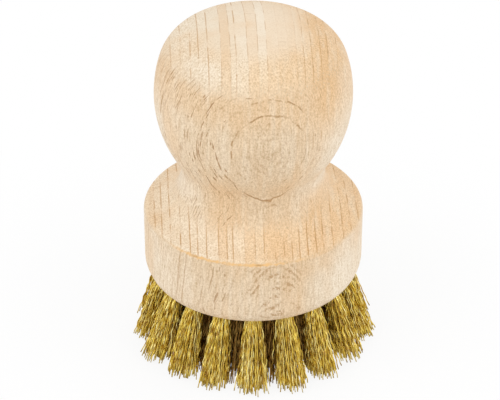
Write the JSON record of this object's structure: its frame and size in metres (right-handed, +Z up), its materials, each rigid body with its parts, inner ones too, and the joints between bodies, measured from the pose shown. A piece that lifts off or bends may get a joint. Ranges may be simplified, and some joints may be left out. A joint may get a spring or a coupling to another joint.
{
  "type": "scrubbing brush",
  "caption": "Round palm brush: a turned beech knob with a waist and a flat plate, set below with fanned tufts of crimped brass wire for scrubbing grates and pots.",
  "frame": {"origin": "on the turning axis, in the plane of the trimmed wire tips, where the brush stands", "axes": "+Z up along the turning axis through the knob, -Y towards the front of the picture's view"},
  "size_m": [0.0672, 0.0682, 0.0973],
  "materials": {
    "beech": "bare turned beech, sanded smooth, with end grain on the crown and the deck",
    "brass_wire": "bright crimped wire",
    "anchor_wire": "flat drawn wire"
  },
  "bodies": {
    "root": {"turned_handle": "beech", "inner_tuft_ring": "brass_wire", "second_tuft_ring": "brass_wire", "third_tuft_ring": "brass_wire", "outer_tuft_ring": "brass_wire", "inner_anchor_1": "anchor_wire", "inner_anchor_2": "anchor_wire", "inner_anchor_3": "anchor_wire", "inner_anchor_4": "anchor_wire", "second_anchor_1": "anchor_wire", "second_anchor_2": "anchor_wire", "second_anchor_3": "anchor_wire", "second_anchor_4": "anchor_wire", "second_anchor_5": "anchor_wire", "second_anchor_6": "anchor_wire", "second_anchor_7": "anchor_wire", "second_anchor_8": "anchor_wire", "second_anchor_9": "anchor_wire", "third_anchor_1": "anchor_wire", "third_anchor_2": "anchor_wire", "third_anchor_3": "anchor_wire", "third_anchor_4": "anchor_wire", "third_anchor_5": "anchor_wire", "third_anchor_6": "anchor_wire", "third_anchor_7": "anchor_wire", "third_anchor_8": "anchor_wire", "third_anchor_9": "anchor_wire", "third_anchor_10": "anchor_wire", "third_anchor_11": "anchor_wire", "third_anchor_12": "anchor_wire", "third_anchor_13": "anchor_wire", "third_anchor_14": "anchor_wire", "outer_anchor_1": "anchor_wire", "outer_anchor_2": "anchor_wire", "outer_anchor_3": "anchor_wire", "outer_anchor_4": "anchor_wire", "outer_anchor_5": "anchor_wire", "outer_anchor_6": "anchor_wire", "outer_anchor_7": "anchor_wire", "outer_anchor_8": "anchor_wire", "outer_anchor_9": "anchor_wire", "outer_anchor_10": "anchor_wire", "outer_anchor_11": "anchor_wire", "outer_anchor_12": "anchor_wire", "outer_anchor_13": "anchor_wire", "outer_anchor_14": "anchor_wire", "outer_anchor_15": "anchor_wire", "outer_anchor_16": "anchor_wire", "outer_anchor_17": "anchor_wire", "outer_anchor_18": "anchor_wire"}
  },
  "joints": []
}
